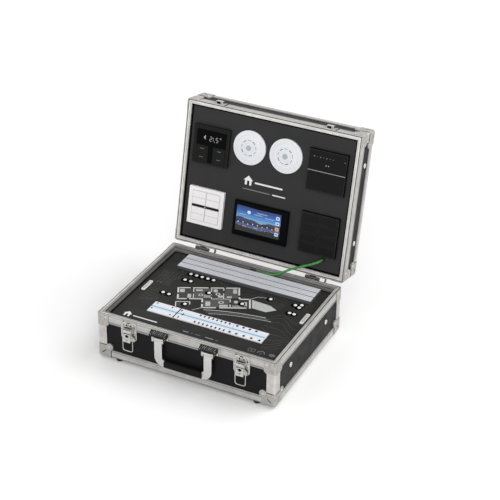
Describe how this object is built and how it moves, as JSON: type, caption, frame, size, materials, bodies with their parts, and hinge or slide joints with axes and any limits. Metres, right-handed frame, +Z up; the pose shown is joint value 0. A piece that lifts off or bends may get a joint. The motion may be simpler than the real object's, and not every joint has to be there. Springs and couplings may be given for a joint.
{
  "type": "home automation demonstration case",
  "caption": "Aluminium framed carrying case, open, with wall devices on a panel in the lid and a demonstration panel with lamps, wiring ducts and rail mounted devices in the base.",
  "frame": {"origin": "on the floor under the middle of the open case", "axes": "+Z up, the front with the handle and the latches faces -Y, +X to the right seen from the front; at rest the lid stands open"},
  "size_m": [0.4754, 0.554, 0.5082],
  "materials": {
    "case_panel": "fine grained dark grey laminate",
    "frame_aluminium": "satin extruded profile",
    "corner_steel": "nickel plated pressed steel",
    "rivet_steel": "bright rivet heads",
    "batten_wood": "planed plywood",
    "foot_rubber": "matt black",
    "hinge_steel": "dark plated steel",
    "handle_steel": "plated steel",
    "handle_plastic": "textured black",
    "latch_steel": "plated steel",
    "demo_board": "black printed laminate",
    "pull_plastic": "ribbed light grey plastic",
    "lamp_white": "white diffuser",
    "duct_plastic": "light bluish grey duct",
    "rail_steel": "zinc plated",
    "din_plastic": "light grey housing",
    "lid_board": "dark grey laminate",
    "white_plastic": "satin white",
    "anthracite_plastic": "dark satin housing",
    "device_case": "black housing",
    "keypad_glass": "dark glass front",
    "display_glass": "dark glass front with a lit picture",
    "lens_plastic": "grey blue lens",
    "black_plastic": "plain black",
    "cable_green": "green cable jacket"
  },
  "bodies": {
    "base": {"base_floor_panel": "case_panel", "base_wall_panels": "case_panel", "base_edge_rails": "frame_aluminium", "base_corner_posts": "frame_aluminium", "base_rim_rails": "frame_aluminium", "base_ball_corners": "corner_steel", "base_rim_brackets": "corner_steel", "base_rivets": "rivet_steel", "base_battens": "batten_wood", "rubber_feet": "foot_rubber", "hinge_base_leaves": "hinge_steel", "hinge_pins": "hinge_steel", "handle_mounts": "handle_steel", "handle_covers": "handle_plastic", "handle_pins": "handle_steel", "latch_plates": "latch_steel", "mains_inlet": "black_plastic", "demo_panel": "demo_board", "panel_lamps": "lamp_white", "finger_pulls": "pull_plastic", "duct_channels": "duct_plastic", "duct_covers": "duct_plastic", "din_rail": "rail_steel", "din_power_supply": "din_plastic", "din_controller": "din_plastic", "din_output_module": "din_plastic", "cable_gland": "black_plastic", "bus_cable": "cable_green"},
    "lid": {"lid_back_panel": "case_panel", "lid_wall_panels": "case_panel", "lid_edge_rails": "frame_aluminium", "lid_corner_posts": "frame_aluminium", "lid_rim_rails": "frame_aluminium", "lid_ball_corners": "corner_steel", "lid_rim_brackets": "corner_steel", "lid_rivets": "rivet_steel", "lid_battens": "batten_wood", "hinge_lid_leaves": "hinge_steel", "latch_catches": "latch_steel", "device_panel": "lid_board", "thermostat": "anthracite_plastic", "light_switch": "white_plastic", "touch_device_cases": "device_case", "keypad_glasses": "keypad_glass", "display_glass": "display_glass", "detector_housings": "white_plastic", "detector_lenses": "lens_plastic", "cable_grommet": "black_plastic"},
    "handle": {"handle_arms": "handle_steel", "handle_grip": "handle_plastic"},
    "left_lever": {"left_latch_lever": "latch_steel"},
    "right_lever": {"right_latch_lever": "latch_steel"},
    "left_loop": {"left_latch_loop": "latch_steel"},
    "right_loop": {"right_latch_loop": "latch_steel"},
    "thermostat_left_key": {"thermostat_left_key": "anthracite_plastic"},
    "thermostat_right_key": {"thermostat_right_key": "anthracite_plastic"},
    "rocker_upper_left": {"rocker_upper_left": "white_plastic"},
    "rocker_upper_right": {"rocker_upper_right": "white_plastic"},
    "rocker_lower_left": {"rocker_lower_left": "white_plastic"},
    "rocker_lower_right": {"rocker_lower_right": "white_plastic"}
  },
  "joints": [
    {"name": "lid_hinge", "type": "hinge", "parent": "base", "child": "lid", "pos_m": [0, 0.11738, 0.1281], "axis": [1, 0, 0], "range_deg": [0, 101.9], "deforming": ["bus_cable"]},
    {"name": "handle_swing", "type": "hinge", "parent": "base", "child": "handle", "pos_m": [0, -0.27102, 0.107], "axis": [-1, 0, 0], "range_deg": [0, 90]},
    {"name": "left_lever_pivot", "type": "hinge", "parent": "base", "child": "left_lever", "pos_m": [-0.149, -0.27102, 0.104], "axis": [-1, 0, 0], "range_deg": [0, 90]},
    {"name": "left_loop_pivot", "type": "hinge", "parent": "left_lever", "child": "left_loop", "pos_m": [-0.149, -0.27102, 0.091], "axis": [-1, 0, 0], "range_deg": [0, 90]},
    {"name": "right_lever_pivot", "type": "hinge", "parent": "base", "child": "right_lever", "pos_m": [0.149, -0.27102, 0.104], "axis": [-1, 0, 0], "range_deg": [0, 90]},
    {"name": "right_loop_pivot", "type": "hinge", "parent": "right_lever", "child": "right_loop", "pos_m": [0.149, -0.27102, 0.091], "axis": [-1, 0, 0], "range_deg": [0, 90]},
    {"name": "thermostat_left_key_tilt", "type": "hinge", "parent": "lid", "child": "thermostat_left_key", "pos_m": [-0.1825, 0.16851, 0.3722], "axis": [1, 0, 0], "range_deg": [-2.5, 2.5], "stiffness_Nm_per_rad": 0.3},
    {"name": "thermostat_right_key_tilt", "type": "hinge", "parent": "lid", "child": "thermostat_right_key", "pos_m": [-0.1345, 0.16851, 0.3722], "axis": [1, 0, 0], "range_deg": [-2.5, 2.5], "stiffness_Nm_per_rad": 0.3},
    {"name": "rocker_upper_left_tilt", "type": "hinge", "parent": "lid", "child": "rocker_upper_left", "pos_m": [-0.1764, 0.14434, 0.25752], "axis": [1, 0, 0], "range_deg": [-2.5, 2.5], "stiffness_Nm_per_rad": 0.3},
    {"name": "rocker_upper_right_tilt", "type": "hinge", "parent": "lid", "child": "rocker_upper_right", "pos_m": [-0.1376, 0.14434, 0.25752], "axis": [1, 0, 0], "range_deg": [-2.5, 2.5], "stiffness_Nm_per_rad": 0.3},
    {"name": "rocker_lower_left_tilt", "type": "hinge", "parent": "lid", "child": "rocker_lower_left", "pos_m": [-0.1764, 0.13556, 0.21584], "axis": [1, 0, 0], "range_deg": [-2.5, 2.5], "stiffness_Nm_per_rad": 0.3},
    {"name": "rocker_lower_right_tilt", "type": "hinge", "parent": "lid", "child": "rocker_lower_right", "pos_m": [-0.1376, 0.13556, 0.21584], "axis": [1, 0, 0], "range_deg": [-2.5, 2.5], "stiffness_Nm_per_rad": 0.3}
  ]
}
